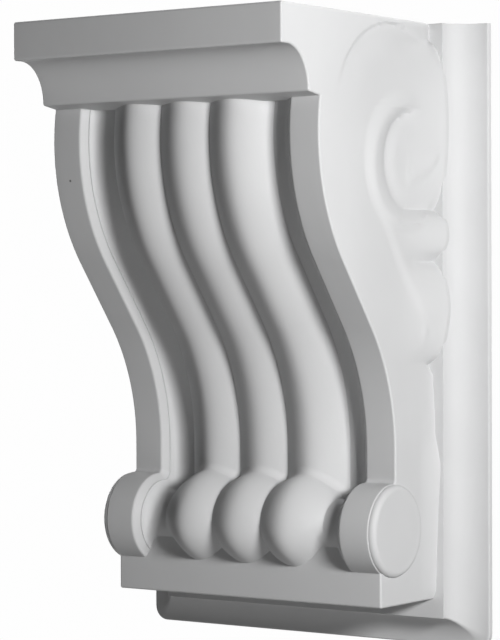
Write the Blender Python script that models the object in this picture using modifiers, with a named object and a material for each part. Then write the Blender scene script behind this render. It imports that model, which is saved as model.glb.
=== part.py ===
"""A cast plaster corbel: a slab over a cove, an S-shaped front with three reeds that run down over a roll to a
plain foot block, a coiled scroll and a leafy edge on both sides, and a moulded wall plate behind, all one casting.

X is the width and the corbel is symmetric about X = 0. The wall is the plane Y = 0 and the front faces -Y.
Z = 0 is halfway up the wall plate. A reach is a distance out from the wall, a drop is a distance below the top."""

import math

import bmesh
import bpy
from mathutils import Vector
from mathutils.geometry import delaunay_2d_cdt

# Whole corbel
BODY_WIDTH = 0.130
PLATE_HEIGHT = 0.252
SLAB_REACH = 0.120

# Wall plate and its cavetto edge
PLATE_THICKNESS = 0.0135
PLATE_EDGE = 0.0025
PLATE_SIDE_MARGIN = 0.0050
PLATE_FOOT_MARGIN = 0.0078
MOULDING_SIDE = 0.0148
MOULDING_FOOT = 0.0120
PLATE_CORNER_RADIUS = 0.0060
MITRE_RADIUS = 0.0003
MOULDING_STEPS = 8
CORNER_STEPS = 5

# Slab, its soffit, and the quarter-ellipse cove under it
SLAB_HEIGHT = 0.0155
SLAB_SOFFIT = 0.0040
COVE_RUN = 0.0139
COVE_DROP = 0.0163
COVE_STEPS = 9

# S front: an arc below the neck, a straight part, and an arc of the same radius down to the foot
NECK_STEP = 0.0068
NECK_FALL = 0.0018
CREST_BELOW_NECK = 0.0134
S_STRAIGHT_SHARE = 0.21
UPPER_STEPS = 9
LOWER_STEPS = 8

# Roll and foot block
ROLL_REACH = 0.0434
ROLL_RADIUS = 0.0186
ROLL_LIFT = 0.0298
FOOT_STEP = 0.0016
S_END_LIFT = 0.0312
BLOCK_SETBACK = 0.0092
REED_LEFT_AT_BLOCK = 0.15
REED_SINKS_FROM = 0.45
ROLL_STEPS = 22
ROLL_DISC_RISE = 0.0026
ROLL_DISC_ROUND = 0.0022
ROLL_DISC_INSET = 0.0003
ROLL_DISC_SIDES = 48
ROLL_DISC_STEPS = 3

# Fluted channel: depths are measured into the front, square to it
BORDER_WIDTH = 0.0134
WALL_RUN = 0.0026
WALL_DEPTH = 0.0029
FILLET_WIDTH = 0.0006
CHANNEL_COVE_RUN = 0.0049
CHANNEL_DEPTH = 0.0070
FLOOR_WIDTH = 0.0044
REED_RADIUS = 0.0170
REED_RISE = 0.0026
CHANNEL_COVE_STEPS = 4
REED_STEPS = 10

# Carving of the sides. Places and radii are shares of the side's depth from the slab's front to the plate, measured
# back from the slab's front and down from the top.
COIL_CENTRE = (0.789, 0.526)
COIL_RADIUS = 0.268
CREST_CENTRE = (0.796, 0.542)
CREST_RADIUS = 0.221
EYE_CENTRE = (0.862, 0.526)
EYE_RADIUS = 0.185
COIL_START = 78.0
COIL_END = 305.0
COIL_FADE = 42.0
COIL_STEPS = 28
COIL_RISE = 0.0015
EYE_SINK = 0.0010

SCROLL_CENTRE = (0.723, 0.413)
SCROLL_RADIUS = 0.397
SCROLL_START = 52.0
SCROLL_END = 168.0
SCROLL_FADE = 34.0
SCROLL_STEPS = 20
SCROLL_EDGE = 0.010
SCROLL_SLOPE = 0.11
SCROLL_STEP = 0.0009

STEM_TOP = (0.590, 0.690)
STEM_MIDDLE = (0.745, 0.915)
STEM_TIP = (0.905, 1.170)
STEM_RUN = 0.055
STEM_STEPS = 10
LEAF_RISE = 0.0010
LEAF_REACH = 0.26

FLARE_START = 0.695
SHANK_START = 0.900
FLARE_CURVE = 2.4
SHANK_CURVE = 1.9
LOBES = ((0.390, 0.320), (0.798, 0.094), (1.089, 0.192))
LOBE_RISE = 0.0067
LOBE_CURVE = 0.45
NOTCH_SINK = 0.0016
LEAF_END = 1.284
SHANK_RISES = ((1.284, -0.0026), (1.330, 0.0), (1.560, 0.0013), (1.670, 0.0037), (1.840, 0.0025), (2.110, 0.0013))
FLARE_COLUMNS = (0.73, 0.79, 0.84, 0.88, 0.915, 0.945, 0.97, 0.99)
TOP_ROW = 0.035
LOBE_ROWS = (12, 8, 12)
SHANK_ROWS = (1.30, 1.34, 1.40, 1.48, 1.56, 1.62, 1.68, 1.76, 1.84, 1.93, 2.02, 2.10)
POINT_GAP = 0.012

# Working allowances of the model
OVERLAP = 0.0030
PLATE_BITE = 0.0095
MERGE = 0.00001

TOP = PLATE_HEIGHT / 2
HALF_WIDTH = BODY_WIDTH / 2
PLATE_FRONT = -PLATE_THICKNESS
PLATE_HALF = HALF_WIDTH + PLATE_SIDE_MARGIN
SIDE_DEPTH = SLAB_REACH - PLATE_THICKNESS
BODY_BACK = PLATE_FRONT + PLATE_BITE
BLOCK_BOTTOM = -TOP + MOULDING_FOOT + PLATE_FOOT_MARGIN

COVE_Y = -SLAB_REACH + SLAB_SOFFIT
COVE_BOTTOM = TOP - SLAB_HEIGHT - COVE_DROP
NECK_Z = COVE_BOTTOM - NECK_FALL
CREST_Y = COVE_Y + COVE_RUN + NECK_STEP
CREST_Z = NECK_Z - CREST_BELOW_NECK
ROLL_Y = -ROLL_REACH
ROLL_Z = BLOCK_BOTTOM + ROLL_LIFT
FOOT_Y = ROLL_Y + FOOT_STEP
S_END_Z = ROLL_Z + S_END_LIFT
BLOCK_Y = ROLL_Y - ROLL_RADIUS + BLOCK_SETBACK

CHANNEL_HALF = HALF_WIDTH - BORDER_WIDTH
WALL_FOOT = CHANNEL_HALF - WALL_RUN
CHANNEL_COVE_TOP = WALL_FOOT - FILLET_WIDTH
CHANNEL_COVE_FOOT = CHANNEL_COVE_TOP - CHANNEL_COVE_RUN
REED_HALF = math.sqrt(REED_RADIUS**2 - (REED_RADIUS - CHANNEL_DEPTH - REED_RISE) ** 2)
REED_PITCH = CHANNEL_COVE_FOOT - FLOOR_WIDTH - REED_HALF


def smooth_step(share):
    share = min(max(share, 0.0), 1.0)
    return share * share * (3 - 2 * share)


def s_lean():
    """Angle of the S front's straight part from upright at which both arcs meet it without a kink."""
    slope = (FOOT_Y - CREST_Y) / (CREST_Z - S_END_Z)
    low, high = 0.0, math.radians(88)
    for _ in range(50):
        middle = (low + high) / 2
        reached = (1 - S_STRAIGHT_SHARE) * math.tan(middle / 2) + S_STRAIGHT_SHARE * math.tan(middle)
        low, high = (low, middle) if reached > slope else (middle, high)
    return low


S_LEAN = s_lean()
S_RADIUS = (CREST_Z - S_END_Z) * (1 - S_STRAIGHT_SHARE) / (2 * math.sin(S_LEAN))


def channel_depth(x):
    """Depth of the fluted channel below the bare front at the width x. It is negative where a reed stands proud."""
    x = abs(x)
    if x >= CHANNEL_HALF:
        return 0.0
    if x >= WALL_FOOT:
        return WALL_DEPTH * (CHANNEL_HALF - x) / WALL_RUN
    if x >= CHANNEL_COVE_TOP:
        return WALL_DEPTH
    if x >= CHANNEL_COVE_FOOT:
        share = (CHANNEL_COVE_TOP - x) / CHANNEL_COVE_RUN
        return WALL_DEPTH + (CHANNEL_DEPTH - WALL_DEPTH) * math.sqrt(max(0.0, 1 - (1 - share) ** 2))
    off = x - REED_PITCH * (x > REED_PITCH / 2)
    if abs(off) >= REED_HALF:
        return CHANNEL_DEPTH
    return REED_RADIUS - REED_RISE - math.sqrt(REED_RADIUS**2 - off**2)


def channel_columns():
    """Widths, from just past the middle plane out to the side, at which the front's profile is taken."""
    columns = [-OVERLAP]
    inner = REED_PITCH / 2
    for step in range(REED_STEPS // 2 + 1):
        columns.append(inner * step / (REED_STEPS // 2))
    for step in range(1, REED_STEPS + 1):
        columns.append(inner + (REED_PITCH + REED_HALF - inner) * step / REED_STEPS)
    for step in range(CHANNEL_COVE_STEPS + 1):
        share = 1 - math.cos(math.pi / 2 * (1 - step / CHANNEL_COVE_STEPS))
        columns.append(CHANNEL_COVE_TOP - CHANNEL_COVE_RUN * share)
    return columns + [WALL_FOOT, CHANNEL_HALF, HALF_WIDTH]


def s_start(depth):
    """Angle on the upper arc where a column's S front leaves the soffit, which slopes up in front of the neck."""
    radius = S_RADIUS - depth
    neck_y = CREST_Y + S_RADIUS - math.sqrt(S_RADIUS**2 - CREST_BELOW_NECK**2)
    slope = NECK_FALL / (neck_y - COVE_Y - COVE_RUN)
    z = NECK_Z
    for _ in range(6):
        angle = -math.asin((z - CREST_Z) / radius)
        y = CREST_Y + S_RADIUS - radius * math.cos(angle)
        z = NECK_Z + max(neck_y - y, 0.0) * slope
    return angle


def front_profile(x):
    """Outline of the front in (Y, Z) at the width x, from the slab's top edge down to the block's lower edge.

    A reed that stands proud sinks almost to the bare roll where it meets the block."""
    depth = channel_depth(x)
    points = [(-SLAB_REACH, TOP), (-SLAB_REACH, TOP - SLAB_HEIGHT)]
    for step in range(COVE_STEPS + 1):
        angle = math.pi / 2 * (1 - step / COVE_STEPS)
        points.append((COVE_Y + COVE_RUN * math.cos(angle), COVE_BOTTOM + COVE_DROP * math.sin(angle)))
    start = s_start(depth)
    for step in range(UPPER_STEPS + 1):
        angle = start + (S_LEAN - start) * step / UPPER_STEPS
        radius = S_RADIUS - depth
        points.append((CREST_Y + S_RADIUS - radius * math.cos(angle), CREST_Z - radius * math.sin(angle)))
    for step in range(LOWER_STEPS + 1):
        angle = S_LEAN * (1 - step / LOWER_STEPS)
        radius = S_RADIUS + depth
        points.append((FOOT_Y - S_RADIUS + radius * math.cos(angle), S_END_Z + radius * math.sin(angle)))
    radius = ROLL_RADIUS - depth
    foot_y = FOOT_Y + depth
    foot_z = ROLL_Z + math.sqrt(radius**2 - (foot_y - ROLL_Y) ** 2)
    start = math.atan2(foot_z - ROLL_Z, foot_y - ROLL_Y)
    last = ROLL_RADIUS - max(depth, depth * REED_LEFT_AT_BLOCK)
    end = 2 * math.pi - math.acos((BLOCK_Y - ROLL_Y) / last)
    for step in range(ROLL_STEPS + 1):
        share = step / ROLL_STEPS
        angle = start + (end - start) * share
        now = radius + (last - radius) * smooth_step((share - REED_SINKS_FROM) / (1 - REED_SINKS_FROM))
        points.append((ROLL_Y + now * math.cos(angle), ROLL_Z + now * math.sin(angle)))
    return points + [(BLOCK_Y, BLOCK_BOTTOM)]


def from_share(place):
    """Place on the side in (Y, Z), from its shares of the side's depth."""
    return -SLAB_REACH + place[0] * SIDE_DEPTH, TOP - place[1] * SIDE_DEPTH


def apart(back, drop, centre):
    return math.hypot(back - centre[0], drop - centre[1])


def bearing(back, drop, centre):
    """Direction from a centre, in degrees from 0 to 360: 0 towards the wall, 90 up, 180 towards the front."""
    return math.degrees(math.atan2(centre[1] - drop, back - centre[0])) % 360


def faded(degrees, start, end, fade):
    return smooth_step((degrees - start) / fade) * smooth_step((end - degrees) / fade)


def lobe_edge(drop):
    """How far the side stands out where it meets the plate: three leafy lobes with notches between, then the shank."""
    if drop > LEAF_END:
        for (above, rise), (below, next_rise) in zip(SHANK_RISES, SHANK_RISES[1:]):
            if drop <= below:
                return rise + (next_rise - rise) * smooth_step((drop - above) / (below - above))
        return SHANK_RISES[-1][1]
    most = 0.0
    for middle, half in LOBES:
        most = max(most, max(0.0, 1 - ((drop - middle) / half) ** 2) ** LOBE_CURVE)
    return -NOTCH_SINK + (LOBE_RISE + NOTCH_SINK) * most


def flare_rise(back, drop):
    edge = lobe_edge(drop)
    leafy = smooth_step((LEAF_END + 0.01 - drop) / 0.03)
    start = SHANK_START - (SHANK_START - FLARE_START) * leafy * (edge > 0)
    share = min(max((back - start) / (1 - start), 0.0), 1.0)
    return edge * share ** (SHANK_CURVE + (FLARE_CURVE - SHANK_CURVE) * leafy)


def coil_rise(back, drop):
    """Raised coil round the eye: a narrow flank outside its crest and a broad slope down to the sunk rim of the eye."""
    fade = faded(bearing(back, drop, EYE_CENTRE), COIL_START, COIL_END, COIL_FADE)
    inward = COIL_RADIUS - apart(back, drop, COIL_CENTRE)
    past_crest = CREST_RADIUS - apart(back, drop, CREST_CENTRE)
    outside_eye = apart(back, drop, EYE_CENTRE) - EYE_RADIUS
    if outside_eye <= 0:
        return -EYE_SINK * fade * smooth_step(1 + outside_eye / EYE_RADIUS)
    if inward <= 0:
        return 0.0
    if past_crest <= 0:
        return COIL_RISE * fade * inward / max(inward - past_crest, 1e-9)
    return fade * (-EYE_SINK + (COIL_RISE + EYE_SINK) * outside_eye / (outside_eye + past_crest))


def scroll_rise(back, drop):
    """Shallow step down from the ground into the large scroll, fading towards the scroll's middle."""
    inward = SCROLL_RADIUS - apart(back, drop, SCROLL_CENTRE)
    if not 0 < inward < SCROLL_EDGE + SCROLL_SLOPE:
        return 0.0
    fade = faded(bearing(back, drop, SCROLL_CENTRE), SCROLL_START, SCROLL_END, SCROLL_FADE)
    return -SCROLL_STEP * fade * min(inward / SCROLL_EDGE, 1 - smooth_step((inward - SCROLL_EDGE) / SCROLL_SLOPE))


def stem_place(share):
    """Place on the front edge of the stem, from its top at 0 to its tip at 1."""
    ahead = 1 - share
    return tuple(
        a * ahead**2 + b * 2 * ahead * share + c * share**2 for a, b, c in zip(STEM_TOP, STEM_MIDDLE, STEM_TIP)
    )


def stem_rise(back, drop):
    """Rise across the stem to the leaf behind it, which fades towards the plate and at both ends."""
    if not STEM_TOP[1] < drop < STEM_TIP[1]:
        return 0.0
    low, high = 0.0, 1.0
    for _ in range(30):
        share = (low + high) / 2
        low, high = (share, high) if stem_place(share)[1] < drop else (low, share)
    off = back - stem_place(low)[0]
    ends = smooth_step(low / 0.3) * smooth_step((1 - low) / 0.2)
    return LEAF_RISE * ends * min(max(off / STEM_RUN, 0.0), 1.0) * (1 - smooth_step((off - STEM_RUN) / LEAF_REACH))


def relief(y, z):
    """How far the side stands out of its plane at a place in (Y, Z)."""
    back, drop = (y + SLAB_REACH) / SIDE_DEPTH, (TOP - z) / SIDE_DEPTH
    back = min(back, 1.0)
    return flare_rise(back, drop) + coil_rise(back, drop) + scroll_rise(back, drop) + stem_rise(back, drop)


def arc_places(centre, radius, start, end, steps):
    """Places on a circle of the side, as shares of its depth."""
    angles = [math.radians(start + (end - start) * step / steps) for step in range(steps + 1)]
    return [(centre[0] + radius * math.cos(a), centre[1] - radius * math.sin(a)) for a in angles]


def carving_lines():
    """Lines along which the side's carving turns, as lists of shares of its depth."""
    return [
        arc_places(COIL_CENTRE, COIL_RADIUS, COIL_START, COIL_END - 8, COIL_STEPS),
        arc_places(CREST_CENTRE, CREST_RADIUS, COIL_START - 10, COIL_END - 8, COIL_STEPS),
        arc_places(EYE_CENTRE, EYE_RADIUS, COIL_START, COIL_END, COIL_STEPS),
        arc_places(SCROLL_CENTRE, SCROLL_RADIUS, SCROLL_START, SCROLL_END, SCROLL_STEPS),
        arc_places(SCROLL_CENTRE, SCROLL_RADIUS - SCROLL_EDGE, SCROLL_START, SCROLL_END, SCROLL_STEPS),
        [stem_place(step / STEM_STEPS) for step in range(STEM_STEPS + 1)],
        [(stem_place(step / STEM_STEPS)[0] + STEM_RUN, stem_place(step / STEM_STEPS)[1]) for step in range(STEM_STEPS + 1)],
    ]


def flare_rows():
    """Drops, as shares of the side's depth, at which the flare is taken: close together next to each notch."""
    rows = [TOP_ROW]
    for (middle, half), steps in zip(LOBES, LOBE_ROWS):
        rows += [middle + half * math.sin(math.pi * (step / steps - 0.5)) for step in range(steps + 1)]
    return sorted([*rows, *SHANK_ROWS])


def side_layout(front):
    """Points and lines of the side in (Y, Z): its outline first, then the carving's lines, then single points."""
    columns = [from_share((back, 0))[0] for back in (0.45, 0.60, *FLARE_COLUMNS, 1.0)]
    rows = [z for z in (from_share((0, drop))[1] for drop in flare_rows()) if z > BLOCK_BOTTOM + OVERLAP]
    bottom = [(y, BLOCK_BOTTOM) for y in columns if y > BLOCK_Y + OVERLAP]
    back = [(BODY_BACK, z) for z in (BLOCK_BOTTOM, *reversed(rows), TOP)]
    top = [(y, TOP) for y in reversed(columns)]
    places = front + bottom + back + top
    outline = len(places)
    lines = []
    for line in carving_lines():
        first = len(places)
        inside = [from_share(place) for place in line if place[0] < 1 - POINT_GAP]
        places += inside
        lines += [(first + i, first + i + 1) for i in range(len(inside) - 1)]
    gap = POINT_GAP * SIDE_DEPTH
    for z in rows:
        for y in columns[2:]:
            near = min(math.hypot(y - a, z - b) for a, b in places)
            if near > gap and y > FOOT_Y:
                places.append((y, z))
    return places, lines, outline


def body(collection):
    """Slab, cove, fluted front, roll, foot block and carved side as one closed half, a little past the middle."""
    shape = bmesh.new()
    rows = [[shape.verts.new((x, y, z)) for y, z in front_profile(x)] for x in channel_columns()]
    for row, following in zip(rows, rows[1:]):
        for i in range(len(row) - 1):
            shape.faces.new((row[i], row[i + 1], following[i + 1], following[i]))
    places, lines, outline = side_layout(front_profile(HALF_WIDTH))
    lines += [(i, (i + 1) % outline) for i in range(outline)]
    found, _, faces, origins, _, _ = delaunay_2d_cdt(
        [Vector(place) for place in places], lines, [list(range(outline))], 1, MERGE / 10
    )
    side = []
    edge = [None] * outline
    for place, origin in zip(found, origins):
        on_front = [i for i in origin if i < len(rows[-1])]
        vert = rows[-1][on_front[0]] if on_front else shape.verts.new((HALF_WIDTH + relief(*place), *place))
        for i in origin:
            if i < outline:
                edge[i] = vert
        side.append(vert)
    for face in faces:
        shape.faces.new([side[i] for i in face])
    count = len(rows[-1])
    corner = edge.index(max((v for v in edge if v.co.y > BODY_BACK - MERGE), key=lambda v: -v.co.z))
    upper = max(i for i, v in enumerate(edge) if v.co.y > BODY_BACK - MERGE)
    middle_foot, middle_top = (shape.verts.new((-OVERLAP, BODY_BACK, z)) for z in (BLOCK_BOTTOM, TOP))
    shape.faces.new([*rows[0], middle_foot, middle_top])
    shape.faces.new([row[-1] for row in rows] + edge[count : corner + 1] + [middle_foot])
    shape.faces.new([middle_foot, *edge[corner : upper + 1], middle_top])
    shape.faces.new([middle_top, *edge[upper:], *[row[0] for row in reversed(rows)]])
    bmesh.ops.remove_doubles(shape, verts=shape.verts, dist=MERGE / 10)
    return finished("corbel", shape, collection)


def finished(name, shape, collection):
    bmesh.ops.recalc_face_normals(shape, faces=shape.faces)
    mesh = bpy.data.meshes.new(name)
    shape.to_mesh(mesh)
    shape.free()
    piece = bpy.data.objects.new(name, mesh)
    collection.objects.link(piece)
    return piece


def plate_ring(half, bottom, radius, y):
    """Outline of the wall plate at one distance from the wall, with its lower outer corner rounded."""
    ring = [(-OVERLAP, y, bottom), (-OVERLAP, y, TOP), (half, y, TOP)]
    for step in range(CORNER_STEPS + 1):
        angle = -math.pi / 2 * step / CORNER_STEPS
        ring.append((half - radius + radius * math.cos(angle), y, bottom + radius + radius * math.sin(angle)))
    return ring


def wall_plate(collection):
    """Wall plate with a flat front and a cavetto along its sides and foot."""
    rings = [plate_ring(PLATE_HALF + MOULDING_SIDE, -TOP, PLATE_CORNER_RADIUS, 0.0)]
    for step in range(MOULDING_STEPS + 1):
        angle = math.pi / 2 * (1 - step / MOULDING_STEPS)
        out = 1 - math.cos(angle)
        y = -PLATE_THICKNESS + (PLATE_THICKNESS - PLATE_EDGE) * math.sin(angle)
        half = PLATE_HALF + MOULDING_SIDE * out
        bottom = -TOP + MOULDING_FOOT * (1 - out)
        rings.append(plate_ring(half, bottom, MITRE_RADIUS + (PLATE_CORNER_RADIUS - MITRE_RADIUS) * out**3, y))
    shape = bmesh.new()
    rows = [[shape.verts.new(point) for point in ring] for ring in rings]
    for row, following in zip(rows, rows[1:]):
        for i in range(len(row)):
            j = (i + 1) % len(row)
            shape.faces.new((row[i], row[j], following[j], following[i]))
    shape.faces.new(rows[0])
    shape.faces.new(rows[-1])
    return finished("wall_plate", shape, collection)


def roll_disc(collection):
    """Disc on the end of the roll, with a rounded rim."""
    radius = ROLL_RADIUS - ROLL_DISC_INSET
    turned = [(radius, -OVERLAP)]
    for step in range(ROLL_DISC_STEPS + 1):
        angle = math.pi / 2 * step / ROLL_DISC_STEPS
        turned.append(
            (
                radius - ROLL_DISC_ROUND * (1 - math.cos(angle)),
                ROLL_DISC_RISE - ROLL_DISC_ROUND * (1 - math.sin(angle)),
            )
        )
    angles = [2 * math.pi * i / ROLL_DISC_SIDES for i in range(ROLL_DISC_SIDES)]
    shape = bmesh.new()
    rings = [
        [shape.verts.new((HALF_WIDTH + out, ROLL_Y + r * math.cos(a), ROLL_Z + r * math.sin(a))) for a in angles]
        for r, out in turned
    ]
    for ring, following in zip(rings, rings[1:]):
        for i in range(ROLL_DISC_SIDES):
            j = (i + 1) % ROLL_DISC_SIDES
            shape.faces.new((ring[i], ring[j], following[j], following[i]))
    shape.faces.new(rings[0])
    shape.faces.new(rings[-1])
    return finished("roll_disc", shape, collection)


def plaster():
    """White, matt cast plaster."""
    material = bpy.data.materials.new("plaster")
    material.use_nodes = True
    shader = material.node_tree.nodes["Principled BSDF"]
    shader.inputs["Base Color"].default_value = (0.80, 0.80, 0.79, 1.0)
    shader.inputs["Roughness"].default_value = 0.75
    shader.inputs["Metallic"].default_value = 0.0
    return material


def add_to(target, other):
    """Joins another shape to the target and hides it."""
    step = target.modifiers.new(other.name, "BOOLEAN")
    step.operation = "UNION"
    step.object = other
    other.hide_render = True
    other.display_type = "WIRE"


def main():
    for old in list(bpy.data.objects):
        bpy.data.objects.remove(old)
    parts = bpy.data.collections.new("corbel")
    tools = bpy.data.collections.new("corbel_tools")
    for collection in (parts, tools):
        bpy.context.scene.collection.children.link(collection)
    corbel = body(parts)
    add_to(corbel, wall_plate(tools))
    add_to(corbel, roll_disc(tools))
    mirror = corbel.modifiers.new("both_sides", "MIRROR")
    mirror.use_axis = (True, False, False)
    mirror.use_bisect_axis = (True, False, False)
    mirror.merge_threshold = MERGE
    corbel.data.materials.append(plaster())
    corbel.data.shade_smooth()
    corbel.data.set_sharp_from_angle(angle=math.radians(14))


main()
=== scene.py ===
"""Looks of the cast plaster corbel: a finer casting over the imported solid, its plaster, the light and the camera.

Lengths here are in millimetres until a mesh is made. In this script's own measure x runs across the corbel from its
middle plane, y runs back from the slab's front, and z runs up from the top, so it is negative below it."""

import math

import bmesh
import bpy
import numpy as np
from mathutils import Matrix, Vector

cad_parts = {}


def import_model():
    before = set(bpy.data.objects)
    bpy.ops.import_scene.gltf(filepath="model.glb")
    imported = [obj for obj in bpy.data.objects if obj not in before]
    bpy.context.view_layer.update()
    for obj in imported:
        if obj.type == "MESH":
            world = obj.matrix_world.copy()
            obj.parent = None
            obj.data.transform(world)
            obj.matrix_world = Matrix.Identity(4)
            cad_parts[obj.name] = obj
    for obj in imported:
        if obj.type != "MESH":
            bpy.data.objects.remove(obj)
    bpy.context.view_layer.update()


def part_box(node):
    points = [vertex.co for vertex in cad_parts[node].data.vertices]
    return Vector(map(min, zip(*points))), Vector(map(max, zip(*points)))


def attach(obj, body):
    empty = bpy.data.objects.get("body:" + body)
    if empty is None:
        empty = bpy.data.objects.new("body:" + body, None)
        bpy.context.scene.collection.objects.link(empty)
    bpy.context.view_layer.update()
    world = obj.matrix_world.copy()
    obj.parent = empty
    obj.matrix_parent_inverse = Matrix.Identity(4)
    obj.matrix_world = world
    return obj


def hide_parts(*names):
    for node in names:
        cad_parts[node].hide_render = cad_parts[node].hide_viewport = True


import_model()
low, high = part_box("corbel")

MM = 0.001
REACH = -low.y / MM
TOP = high.z / MM
HEIGHT = (high.z - low.z) / MM
PLATE_OUTER = high.x / MM

HALF_WIDTH = 65.0
ARRIS = 0.8

# Front profile
SLAB_HEIGHT = 15.5
SLAB_SOFFIT = 4.0
COVE_RUN = 13.9
COVE_DROP = 16.3
NECK = (25.7, -33.6)
CHANNEL_CEILING = -34.2
S_RADIUS = 80.3
S_LEAN = math.radians(37.6)
S_CREST = (24.7, -47.0)
FOOT_Y = 78.2
ROLL = (76.6, -202.4)
ROLL_RADIUS = 18.6
BLOCK_Y = 67.2
BLOCK_BOTTOM = -232.2

# Fluted channel
CHANNEL_HALF = 51.6
WALL_FOOT = 49.0
WALL_DEPTH = 2.9
COVE_TOP = 48.4
COVE_FOOT = 43.5
CHANNEL_DEPTH = 7.0
REED_PITCH = 23.8
REED_RADIUS = 17.0
REED_RISE = 2.6

# Wall plate
PLATE_FRONT = 106.5
PLATE_HALF = 70.0
PLATE_FACE_BOTTOM = -240.0
PLATE_EDGE = 2.5
CORNER_RADIUS = 6.0

# Carving of the sides
COIL_RISE = 1.7
EYE_SINK = 1.3
SIDE_END = 108.5


def smooth(t):
    t = np.clip(t, 0.0, 1.0)
    return t * t * (3 - 2 * t)


def world(x, y, z):
    """Points in the row frame, in metres."""
    return np.stack([np.asarray(x) * MM, (np.asarray(y) - REACH) * MM, (np.asarray(z) + TOP) * MM], axis=-1)


def arc(centre, radii, start, end, count):
    """Points on an ellipse's arc, angles in degrees."""
    angles = np.radians(np.linspace(start, end, count))
    return np.stack([centre[0] + radii[0] * np.cos(angles), centre[1] + radii[1] * np.sin(angles)], axis=1)


def normals_of(points):
    """Unit normals of an open outline in (y, z), on the side that is inside the corbel."""
    tangent = np.gradient(points, axis=0)
    tangent /= np.maximum(np.linalg.norm(tangent, axis=1, keepdims=True), 1e-9)
    return np.stack([-tangent[:, 1], tangent[:, 0]], axis=1)


def slab_outline():
    """Slab, soffit and cove, with rounded arrises, and the inward normals."""
    r = 0.9
    cove_bottom = -SLAB_HEIGHT - COVE_DROP
    pieces = [
        (arc((r, -r), (r, r), 90, 180, 6), lambda p: np.array([r, -r]) - p),
        (np.column_stack([np.zeros(13), np.linspace(-1.8, -13.8, 13)]), lambda p: np.tile([1.0, 0.0], (len(p), 1))),
        (arc((r, -SLAB_HEIGHT + r), (r, r), 180, 270, 6), lambda p: np.array([r, -SLAB_HEIGHT + r]) - p),
        (np.array([[2.5, -SLAB_HEIGHT]]), lambda p: np.tile([0.0, 1.0], (len(p), 1))),
        (
            arc((SLAB_SOFFIT, cove_bottom), (COVE_RUN, COVE_DROP), 90, 4, 22),
            lambda p: (p - np.array([SLAB_SOFFIT, cove_bottom])) / np.array([COVE_RUN**2, COVE_DROP**2]),
        ),
    ]
    points = np.concatenate([p for p, _ in pieces])
    normals = np.concatenate([f(p) for p, f in pieces])
    end = points[-1]
    slope = (NECK[1] - end[1]) / (NECK[0] - end[0])
    lean = math.atan(slope)
    r = 1.1
    centre = np.array([SLAB_SOFFIT + COVE_RUN + r, cove_bottom + 0.4])
    turn = arc(centre, (r, r), 186, 270 + math.degrees(lean), 6)
    points = np.concatenate([points, turn])
    normals = np.concatenate([normals, centre - turn])
    normals /= np.linalg.norm(normals, axis=1, keepdims=True)
    return points, normals


SLAB_POINTS, SLAB_NORMALS = slab_outline()
SOFFIT_START = SLAB_POINTS[-1]
SOFFIT_NORMAL = SLAB_NORMALS[-1]
SOFFIT_SLOPE = (NECK[1] - SOFFIT_START[1]) / (NECK[0] - SOFFIT_START[0])


def ceiling(y, inset):
    """Height of the soffit over the front: sloping to the neck, then level inside the channel."""
    sloped = SOFFIT_START[1] + (y - SOFFIT_START[0]) * SOFFIT_SLOPE
    return np.maximum(sloped, CHANNEL_CEILING) + inset * math.hypot(1.0, SOFFIT_SLOPE)


def s_upper(angle, depth):
    r = S_RADIUS - depth
    return S_CREST[0] + S_RADIUS - r * math.cos(angle), S_CREST[1] - r * math.sin(angle)


S_DROP_LINE = (FOOT_Y - S_CREST[0] - 2 * S_RADIUS * (1 - math.cos(S_LEAN))) / math.tan(S_LEAN)
S_END_Z = S_CREST[1] - 2 * S_RADIUS * math.sin(S_LEAN) - S_DROP_LINE


def roll_hollow(x, total):
    """Radius and centre of the hollow between the S front and the roll, and the angle where it meets the roll."""
    f = 1.8 + 1.8 * float(smooth((CHANNEL_HALF + 1.0 - abs(x)) / 4.0))
    y = FOOT_Y + total - f
    z = ROLL[1] + math.sqrt((ROLL_RADIUS - total + f) ** 2 - (y - ROLL[0]) ** 2)
    return f, (y, z), math.atan2(z - ROLL[1], y - ROLL[0])


def s_outline(x, depth, inset):
    """S front of one column, from the soffit to the roll."""
    total = depth + inset
    lo, hi = math.radians(-25), math.radians(10)
    for _ in range(40):
        mid = (lo + hi) / 2
        y, z = s_upper(mid, total)
        lo, hi = (mid, hi) if z > ceiling(y, inset) else (lo, mid)
    start = (lo + hi) / 2
    y, z = s_upper(start, total)
    neck_y = min(y, NECK[0])
    run = np.concatenate([np.linspace(SOFFIT_START[0], neck_y, 5)[1:], np.linspace(neck_y, y, 5)[1:]])
    soffit = np.stack([run, ceiling(run, inset)], axis=1)
    upper = np.array([s_upper(a, total) for a in np.linspace(start, S_LEAN, 34)])[1:]
    r = S_RADIUS + total
    lower = arc((FOOT_Y - S_RADIUS, S_END_Z), (r, r), math.degrees(S_LEAN), 0, 34)
    line = upper[-1] + (lower[0] - upper[-1]) * np.linspace(0, 1, 14)[1:-1, None]
    f, centre, meet = roll_hollow(x, total)
    down = np.stack([np.full(6, FOOT_Y + total), np.linspace(S_END_Z, centre[1], 6)], axis=1)[1:]
    hollow = arc(centre, (f, f), 0, math.degrees(meet) - 180, 9)[1:]
    return np.concatenate([soffit, upper, line, lower, down, hollow])


def roll_outline(x, depth, inset):
    """Roll of one column, from the S front down to the foot block. Each reed tapers to a tip at its lower end."""
    total = depth + inset
    radius = ROLL_RADIUS - total
    start = roll_hollow(x, total)[2]
    block = BLOCK_Y + inset - ROLL[0]
    tip = depth if abs(x) > COVE_FOOT - 1.5 else min(0.4 + 0.95 * (depth + REED_RISE), CHANNEL_DEPTH)
    last = ROLL_RADIUS - inset - tip
    end = 2 * math.pi - math.acos(block / last)
    t = np.linspace(0, 1, 57)
    angles = start + (end - start) * t
    radii = radius + (last - radius) * smooth((t - 0.58) / 0.42)
    points = np.stack([ROLL[0] + radii * np.cos(angles), ROLL[1] + radii * np.sin(angles)], axis=1)
    return points[1:]


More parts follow.
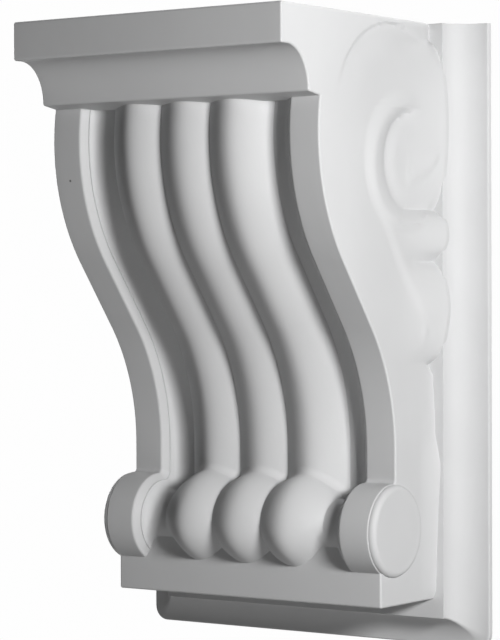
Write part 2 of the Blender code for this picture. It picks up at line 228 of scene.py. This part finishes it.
def block_outline(inset, roll_end_z):
    r = 0.9
    down = np.stack([np.full(6, BLOCK_Y), np.linspace(roll_end_z, BLOCK_BOTTOM + r, 7)[1:]], axis=1)
    corner = arc((BLOCK_Y + r, BLOCK_BOTTOM + r), (r, r), 180, 270, 6)[1:]
    normals = np.concatenate([np.tile([1.0, 0.0], (6, 1)), (np.array([BLOCK_Y + r, BLOCK_BOTTOM + r]) - corner) / r])
    return np.concatenate([down, corner]) + inset * normals


def column(x, depth, inset):
    roll = roll_outline(x, depth, inset)
    return np.concatenate(
        [SLAB_POINTS + inset * SLAB_NORMALS, s_outline(x, depth, inset), roll, block_outline(inset, roll[-1, 1])]
    )


def channel_section():
    """Half of the channel's cross-section as (x, depth), from the middle plane out to the border."""
    half = REED_PITCH / 2
    foot = REED_PITCH + math.sqrt(REED_RADIUS**2 - (REED_RADIUS - CHANNEL_DEPTH - REED_RISE) ** 2)

    def reed(off, flank):
        """Depth across a reed, whose crest is tighter than its flanks."""
        circle = REED_RADIUS - math.sqrt(REED_RADIUS**2 - off**2)
        ridge = flank * (math.hypot(1.0, off / 6.0) - 1)
        return 0.3 * circle + 0.7 * ridge - REED_RISE

    section = [(x, reed(x, 3.9)) for x in np.linspace(0.0, half, 12)]
    section += [(x, reed(REED_PITCH - x, 3.9)) for x in np.linspace(half, REED_PITCH, 12)[1:]]
    section += [(x, reed(x - REED_PITCH, 5.5)) for x in np.linspace(REED_PITCH, foot, 16)[1:]]
    section += [(x, CHANNEL_DEPTH) for x in np.linspace(foot, COVE_FOOT, 4)[1:]]
    for turn in np.linspace(0, math.pi / 2, 9)[1:]:
        x = COVE_FOOT + (COVE_TOP - COVE_FOOT) * math.sin(turn)
        section.append((x, CHANNEL_DEPTH - (CHANNEL_DEPTH - WALL_DEPTH) * (1 - math.cos(turn))))
    section += [(COVE_TOP + 0.15, WALL_DEPTH - 0.15), (WALL_FOOT, WALL_DEPTH - 0.25)]
    section += [(50.2, 1.45), (50.95, 0.5), (51.25, 0.22), (CHANNEL_HALF, 0.05), (52.1, 0.0)]
    return section


def columns():
    """Columns of one half as (x, depth, inset), from the middle plane to the side's plane."""
    found = [(x, d, 0.0) for x, d in channel_section()]
    found += [(56.0, 0.0, 0.0), (60.0, 0.0, 0.0)]
    for turn in np.linspace(0, math.pi / 2, 5):
        found.append((HALF_WIDTH - ARRIS + ARRIS * math.sin(turn), 0.0, ARRIS * (1 - math.cos(turn))))
    return found


def lobes(z):
    """How far the side stands out where it meets the plate: three leafy lobes with notches between, then the shank."""
    most = np.zeros_like(z)
    for middle, half in ((-41.5, 34.1), (-85.0, 10.0), (-116.0, 20.4)):
        most = np.maximum(most, np.clip(1 - ((z - middle) / half) ** 2, 0.0, 1.0) ** 0.45)
    leaf = -1.6 + 8.3 * most
    shank = np.interp(-z, (136.8, 141.7, 166.1, 177.9, 196.0, 224.7), (-2.6, 0.0, 1.3, 3.7, 2.5, 1.3))
    return np.where(z < -136.8, shank, leaf)


def faded(degrees, start, end, run):
    return smooth((degrees - start) / run) * smooth((end - degrees) / run)


def bearing(y, z, centre):
    """Direction from a centre in degrees: 0 towards the wall, 90 up, 180 towards the front."""
    return np.degrees(np.arctan2(z - centre[1], y - centre[0])) % 360


def flare(y, z):
    """Concave flare of the side out to the plate."""
    edge = lobes(z)
    leafy = smooth((z + 138.0) / 3.2)
    start = np.where(edge > 0, 96.0 - 22.0 * leafy, 98.0)
    share = np.clip((y - start) / (PLATE_FRONT - start), 0.0, 1.0)
    return edge * share ** (1.9 + 0.5 * leafy)


def coil(y, z):
    """Raised coil round the eye: a narrow flank outside its crest, and a broad slope down to the eye's sunk rim."""
    eye = (91.8, -56.0)
    fade = faded(bearing(y, z, eye), 78.0, 305.0, 42.0)
    inward = 28.5 - np.hypot(y - 84.0, z + 56.0)
    past = 23.5 - np.hypot(y - 84.8, z + 57.7)
    out_of_eye = np.hypot(y - eye[0], z - eye[1]) - 19.7
    flank = np.clip(inward / np.maximum(inward - past, 1e-6), 0, 1)
    flank = 0.4 * flank + 0.6 * smooth(flank)
    slope = 1 - np.clip(1 - out_of_eye / np.maximum(out_of_eye + past, 1e-6), 0, 1) ** 1.5
    ring = np.where(past <= 0, COIL_RISE * flank, -EYE_SINK + (COIL_RISE + EYE_SINK) * slope)
    pillow = -EYE_SINK * smooth(1 + out_of_eye / 7.0) * smooth(np.hypot(y - eye[0], z - eye[1]) / 6.0)
    return fade * np.where(out_of_eye <= 0, pillow, np.where(inward > 0, ring, 0.0))


def comma(y, z):
    """Curl in the eye, with a small pit at its tip."""
    off = np.hypot(y - 87.3, z + 46.5) - 16.9
    turn = np.degrees(np.arctan2(z + 46.5, y - 87.3))
    along = smooth((turn + 98.0) / 14.0) * smooth((-10.0 - turn) / 25.0)
    rise = 0.9 * along * np.where(off > 0, 1 - smooth(off / 1.6), np.exp(-((off / 6.0) ** 2)))
    return rise - 0.7 * np.exp(-((y - 88.6) ** 2 + (z + 60.2) ** 2) / 1.6)


def scroll(y, z):
    """Shallow step down into the large scroll, which fades towards the scroll's middle."""
    centre = (77.0, -44.0)
    inward = 42.3 - np.hypot(y - centre[0], z - centre[1])
    fade = faded(bearing(y, z, centre), 52.0, 168.0, 34.0)
    return -1.2 * fade * smooth(inward / 1.1) * (1 - smooth((inward - 1.1) / 14.0))


STEM = np.array([(62.8, -73.5), (79.3, -97.4), (96.4, -124.6)])


def stem(y, z):
    """Rise across the stem to the leaf behind it."""
    share = np.linspace(0, 1, 60)[:, None]
    line = STEM[0] * (1 - share) ** 2 + STEM[1] * 2 * share * (1 - share) + STEM[2] * share**2
    along = np.interp(-z, -line[:, 1], share[:, 0])
    off = y - np.interp(-z, -line[:, 1], line[:, 0])
    inside = (z < STEM[0][1]) & (z > STEM[2][1])
    ends = smooth(along / 0.3) * smooth((1 - along) / 0.2)
    return np.where(inside, 1.0, 0.0) * ends * smooth(off / 6.0) * (1 - smooth((off - 6.0) / 26.0))


def leaf(y, z):
    """Soft pads of the leaf and the hollows between them."""
    h = np.zeros_like(y)
    for cy, cz, ry, rz, rise in (
        (98.0, -84.0, 8.0, 6.0, 0.6),
        (98.0, -108.0, 8.0, 11.0, 0.6),
        (95.0, -94.5, 8.0, 3.0, -0.7),
        (99.0, -134.0, 6.0, 4.0, -0.6),
        (96.5, -124.5, 1.8, 2.4, 0.5),
    ):
        h += rise * np.exp(-(((y - cy) / ry) ** 2) - ((z - cz) / rz) ** 2)
    return h


def relief(y, z):
    """Carving of the side: how far it stands out of the side's plane."""
    y = np.minimum(y, PLATE_FRONT)
    return flare(y, z) + coil(y, z) + comma(y, z) + scroll(y, z) + stem(y, z) + leaf(y, z)


def side_grid(front):
    """Points of one side as rows of (x, y, z), from the rounded front arris back into the plate."""
    rows = len(front)
    share = np.linspace(0, 1, 100)
    end_z = np.interp(np.arange(rows), [0, rows - 1], [front[0, 1], front[-1, 1]])
    lengths = np.concatenate([[0], np.cumsum(np.maximum(np.linalg.norm(np.diff(front, axis=0), axis=1), 1e-6))])
    drop = (front[:, 1] - front[0, 1]) / (front[-1, 1] - front[0, 1])
    spread = 0.75 * np.maximum.accumulate(drop) + 0.25 * lengths / lengths[-1]
    end_z = front[0, 1] + (front[-1, 1] - front[0, 1]) * spread
    y = front[:, :1] + (SIDE_END - front[:, :1]) * share
    z = front[:, 1:] + (end_z[:, None] - front[:, 1:]) * smooth(share / 0.45)
    fade = smooth((z - BLOCK_BOTTOM) / 4.0) * smooth((y - front[:, :1]) / 2.0)
    x = HALF_WIDTH + relief(y, z) * fade
    return np.stack([x, y, z], axis=-1)


def body_mesh():
    """Slab, front, roll, block and carved sides as one closed skin."""
    half = columns()
    full = [(-x, d, e) for x, d, e in reversed(half)] + half[1:]
    front = np.array([np.column_stack([np.full(len(c), x), c]) for x, c in ((x, column(x, d, e)) for x, d, e in full)])
    shape = bmesh.new()

    def grid(points, flip):
        verts = [[shape.verts.new(p) for p in row] for row in world(points[..., 0], points[..., 1], points[..., 2])]
        for a, b in zip(verts, verts[1:]):
            for i in range(len(a) - 1):
                corners = (a[i], a[i + 1], b[i + 1], b[i])
                shape.faces.new(corners[::-1] if flip else corners)
        return verts

    strips = [grid(front, False)]
    side = side_grid(front[-1][:, 1:])
    top_rows, foot_rows = [], []
    for turn in np.linspace(0, math.pi / 2, 5)[:-1]:
        pull = ARRIS * (1 - math.sin(turn))
        top = side[0].copy()
        top[:, 0] -= pull
        top[:, 2] = -ARRIS * (1 - math.cos(turn))
        top_rows.append(top)
        foot = side[-1].copy()
        foot[:, 0] -= pull
        foot[:, 2] = BLOCK_BOTTOM + ARRIS * (1 - math.cos(turn))
        foot_rows.append(foot)
    side = np.concatenate([np.array(top_rows), side, np.array(foot_rows[::-1])])
    right = grid(side, True)
    mirrored = side * np.array([-1.0, 1.0, 1.0])
    left = grid(mirrored, False)
    first = [row[0] for row in strips[0]]
    last = [row[-1] for row in strips[0]]
    arris = 4
    shape.faces.new(first[arris:-arris] + right[0][1:] + left[0][:0:-1])
    shape.faces.new((last[arris:-arris] + right[-1][1:] + left[-1][:0:-1])[::-1])
    shape.faces.new([row[-1] for row in right] + [row[-1] for row in reversed(left)])
    bmesh.ops.remove_doubles(shape, verts=shape.verts, dist=0.00002)
    bmesh.ops.dissolve_degenerate(shape, edges=shape.edges, dist=0.000005)
    bmesh.ops.recalc_face_normals(shape, faces=shape.faces)
    return shape


def plate_ring(half, bottom, radius, y, top=-0.03):
    """Outline of the wall plate at one depth, from the top left round to the top right."""
    corner = arc((half - radius, bottom + radius), (radius, radius), 0, -90, 9)
    right = np.concatenate([[[half, top]], [[half, top - 1.0]], corner])
    left = right[::-1] * np.array([-1.0, 1.0])
    ring = np.concatenate([right, left])
    return np.column_stack([ring[:, 0], np.full(len(ring), y), ring[:, 1]])


def plate_mesh():
    """Wall plate with a flat front, a cavetto along its sides and foot, and a thin rounded outer edge."""
    side_run = PLATE_OUTER - PLATE_HALF
    foot_run = PLATE_FACE_BOTTOM + HEIGHT
    deep = REACH - PLATE_EDGE - PLATE_FRONT
    rings = [plate_ring(PLATE_HALF - 0.5, PLATE_FACE_BOTTOM + 0.5, 0.6, PLATE_FRONT)]
    rings.append(plate_ring(PLATE_HALF - 0.12, PLATE_FACE_BOTTOM + 0.12, 0.7, PLATE_FRONT + 0.12))
    for turn in np.linspace(0.05, 0.97, 18) * math.pi / 2:
        out = 1 - math.cos(turn)
        half = PLATE_HALF + side_run * out
        bottom = PLATE_FACE_BOTTOM - foot_run * out
        radius = 0.8 + (CORNER_RADIUS - 0.8) * out**2.5
        rings.append(plate_ring(half, bottom, radius, PLATE_FRONT + deep * math.sin(turn)))
    for turn in np.linspace(0.1, 1, 5) * math.pi / 2:
        pull = 0.7 * (1 - math.sin(turn))
        y = REACH - PLATE_EDGE + 0.7 * (1 - math.cos(turn))
        rings.append(plate_ring(PLATE_OUTER - pull, -HEIGHT + pull, CORNER_RADIUS, y))
    rings.append(plate_ring(PLATE_OUTER, -HEIGHT, CORNER_RADIUS, REACH - 0.3))
    rings.append(plate_ring(PLATE_OUTER - 0.3, -HEIGHT + 0.3, CORNER_RADIUS, REACH))
    shape = bmesh.new()
    rows = [[shape.verts.new(p) for p in world(ring[:, 0], ring[:, 1], ring[:, 2])] for ring in rings]
    for a, b in zip(rows, rows[1:]):
        for i in range(len(a)):
            j = (i + 1) % len(a)
            shape.faces.new((a[i], a[j], b[j], b[i]))
    shape.faces.new(rows[0])
    shape.faces.new(rows[-1])
    bmesh.ops.recalc_face_normals(shape, faces=shape.faces)
    return shape


def disc_mesh(sign):
    """End of the roll: a low disc with a softly rounded rim and a slight dish."""
    turned = [(0.0, 2.15), (4.0, 2.17), (8.0, 2.27), (11.5, 2.42), (13.4, 2.36), (14.6, 2.50)]
    turned += [(15.9 + 2.4 * math.sin(a), 0.15 + 2.4 * math.cos(a)) for a in np.radians(np.linspace(0, 90, 9))]
    turned.append((18.3, -1.5))
    shape = bmesh.new()
    rings = []
    count = 120
    angles = np.linspace(0, 2 * math.pi, count, endpoint=False)
    for r, out in turned[1:]:
        points = world(
            np.full(count, sign * (HALF_WIDTH + out)), ROLL[0] + r * np.cos(angles), ROLL[1] + r * np.sin(angles)
        )
        rings.append([shape.verts.new(p) for p in points])
    for a, b in zip(rings, rings[1:]):
        for i in range(count):
            j = (i + 1) % count
            shape.faces.new((a[i], a[j], b[j], b[i]))
    shape.faces.new(rings[0])
    shape.faces.new(rings[-1])
    bmesh.ops.recalc_face_normals(shape, faces=shape.faces)
    return shape


def casting():
    """One mesh object for the whole casting."""
    mesh = bpy.data.meshes.new("corbel_casting")
    whole = body_mesh()
    for extra in (plate_mesh(), disc_mesh(1), disc_mesh(-1)):
        part = bpy.data.meshes.new("part")
        extra.to_mesh(part)
        extra.free()
        whole.from_mesh(part)
        bpy.data.meshes.remove(part)
    whole.to_mesh(mesh)
    whole.free()
    piece = bpy.data.objects.new("corbel_casting", mesh)
    bpy.context.scene.collection.objects.link(piece)
    mesh.shade_smooth()
    mesh.set_sharp_from_angle(angle=math.radians(32))
    weighted = piece.modifiers.new("weighted", "WEIGHTED_NORMAL")
    weighted.keep_sharp = True
    weighted.weight = 60
    return piece


def plaster():
    """White cast plaster: matt, very slightly mottled, with fine grain, and two small dark spots of painted shade
    standing in for pinholes.
    """
    material = bpy.data.materials.new("plaster")
    material.use_nodes = True
    tree = material.node_tree
    nodes, links = tree.nodes, tree.links
    shader = nodes["Principled BSDF"]
    shader.inputs["Roughness"].default_value = 0.62
    shader.inputs["Specular IOR Level"].default_value = 0.35
    place = nodes.new("ShaderNodeTexCoord")

    def noise(scale, detail):
        node = nodes.new("ShaderNodeTexNoise")
        node.inputs["Scale"].default_value = scale
        node.inputs["Detail"].default_value = detail
        links.new(place.outputs["Object"], node.inputs["Vector"])
        return node

    broad, fine, grain = noise(28.0, 3.0), noise(160.0, 2.0), noise(900.0, 2.0)
    tint = nodes.new("ShaderNodeMix")
    tint.data_type = "RGBA"
    tint.inputs["A"].default_value = (0.600, 0.602, 0.606, 1.0)
    tint.inputs["B"].default_value = (0.660, 0.662, 0.665, 1.0)
    links.new(broad.outputs["Fac"], tint.inputs["Factor"])
    colour = tint.outputs["Result"]
    # Two small near-black spots: painted shade standing in for the shade inside pinholes, which are not modelled as
    # holes.
    for x, y, z, reach in ((-57.5, 25.9, -62.7, 0.75), (79.0, 112.0, -83.0, 0.9)):
        apart = nodes.new("ShaderNodeVectorMath")
        apart.operation = "DISTANCE"
        apart.inputs[1].default_value = world(x, y, z).tolist()
        links.new(place.outputs["Object"], apart.inputs[0])
        pinhole_shade_mask = nodes.new("ShaderNodeMapRange")
        pinhole_shade_mask.inputs["From Min"].default_value = reach * MM * 0.5
        pinhole_shade_mask.inputs["From Max"].default_value = reach * MM
        links.new(apart.outputs["Value"], pinhole_shade_mask.inputs["Value"])
        painted_pinhole_shade = nodes.new("ShaderNodeMix")
        painted_pinhole_shade.data_type = "RGBA"
        painted_pinhole_shade.inputs["A"].default_value = (0.10, 0.10, 0.10, 1.0)
        links.new(pinhole_shade_mask.outputs["Result"], painted_pinhole_shade.inputs["Factor"])
        links.new(colour, painted_pinhole_shade.inputs["B"])
        colour = painted_pinhole_shade.outputs["Result"]
    links.new(colour, shader.inputs["Base Color"])
    height = nodes.new("ShaderNodeMath")
    height.operation = "MULTIPLY_ADD"
    height.inputs[1].default_value = 0.35
    links.new(fine.outputs["Fac"], height.inputs[2])
    links.new(grain.outputs["Fac"], height.inputs[0])
    bump = nodes.new("ShaderNodeBump")
    bump.inputs["Strength"].default_value = 0.12
    bump.inputs["Distance"].default_value = 0.0004
    links.new(height.outputs["Value"], bump.inputs["Height"])
    links.new(bump.outputs["Normal"], shader.inputs["Normal"])
    return material


def studio():
    """Pale floor and surroundings, a large soft light on the right, and a weak fill."""
    scene = bpy.context.scene
    scene.view_settings.view_transform = "Standard"
    world_light = bpy.data.worlds.new("studio")
    world_light.use_nodes = True
    tree = world_light.node_tree
    back = tree.nodes["Background"]
    back.inputs["Color"].default_value = (1.0, 1.0, 1.0, 1.0)
    back.inputs["Strength"].default_value = 0.02
    seen = tree.nodes.new("ShaderNodeBackground")
    seen.inputs["Color"].default_value = (0.99, 0.99, 0.99, 1.0)
    seen.inputs["Strength"].default_value = 1.0
    ray = tree.nodes.new("ShaderNodeLightPath")
    mix = tree.nodes.new("ShaderNodeMixShader")
    tree.links.new(ray.outputs["Is Camera Ray"], mix.inputs["Fac"])
    tree.links.new(back.outputs["Background"], mix.inputs[1])
    tree.links.new(seen.outputs["Background"], mix.inputs[2])
    tree.links.new(mix.outputs["Shader"], tree.nodes["World Output"].inputs["Surface"])
    scene.world = world_light

    def light(name, place, aim, size, power):
        lamp = bpy.data.lights.new(name, "AREA")
        lamp.shape = "RECTANGLE"
        lamp.size, lamp.size_y = size
        lamp.energy = power
        holder = bpy.data.objects.new(name, lamp)
        holder.location = place
        holder.rotation_euler = (Vector(aim) - Vector(place)).to_track_quat("-Z", "Y").to_euler()
        holder.visible_camera = False
        scene.collection.objects.link(holder)

    light("key", (0.575, -0.345, 0.112), (0.03, -0.07, 0.015), (0.16, 0.10), 4.2)
    light("low", (0.19, -0.55, -0.60), (0.0, -0.07, 0.015), (0.4, 0.4), 0.65)
    light("left", (-1.15, 0.50, 0.10), (0.0, -0.05, 0.0), (0.5, 0.5), 11.0)
    light("back", (0.25, 1.60, 0.30), (0.0, 0.0, 0.0), (0.7, 0.7), 18.0)
    light("top", (0.0, 0.80, 1.60), (0.0, -0.05, 0.1), (0.7, 0.7), 22.0)

    bpy.ops.mesh.primitive_plane_add(size=24.0, location=(0.0, 0.0, -3.0))
    floor = bpy.context.object
    floor.name = "floor"
    paint = bpy.data.materials.new("pale_floor")
    paint.use_nodes = True
    shader = paint.node_tree.nodes["Principled BSDF"]
    shader.inputs["Base Color"].default_value = (0.9, 0.9, 0.9, 1.0)
    shader.inputs["Roughness"].default_value = 0.9
    shader.inputs["Emission Color"].default_value = (1.0, 1.0, 1.0, 1.0)
    shader.inputs["Emission Strength"].default_value = 0.97
    floor.data.materials.append(paint)
    floor.visible_diffuse = False


def camera():
    """The photograph's view: from the right of the front, level with the corbel's middle."""
    yaw, pitch, roll = 0.6176, 0.0118, -0.0034
    focal = 2581.3
    ahead = Vector((-math.sin(yaw) * math.cos(pitch), math.cos(yaw) * math.cos(pitch), -math.sin(pitch)))
    right = Vector((math.cos(yaw), math.sin(yaw), 0.0))
    up = right.cross(ahead)
    turned_right = right * math.cos(roll) + up * math.sin(roll)
    turned_up = up * math.cos(roll) - right * math.sin(roll)
    place = Matrix((turned_right, turned_up, -ahead)).transposed().to_4x4()
    place.translation = Vector(world(608.09, -785.34, -106.89).tolist())
    data = bpy.data.cameras.new("camera")
    data.sensor_width = 36.0
    data.lens = focal / 640 * 36.0
    data.clip_start = 0.01
    eye = bpy.data.objects.new("camera", data)
    eye.matrix_world = place
    bpy.context.scene.collection.objects.link(eye)
    bpy.context.scene.camera = eye


camera()
corbel = casting()
corbel.data.materials.append(plaster())
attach(corbel, "root")
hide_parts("corbel")
studio()
print("triangles", sum(len(p.vertices) - 2 for p in corbel.data.polygons))
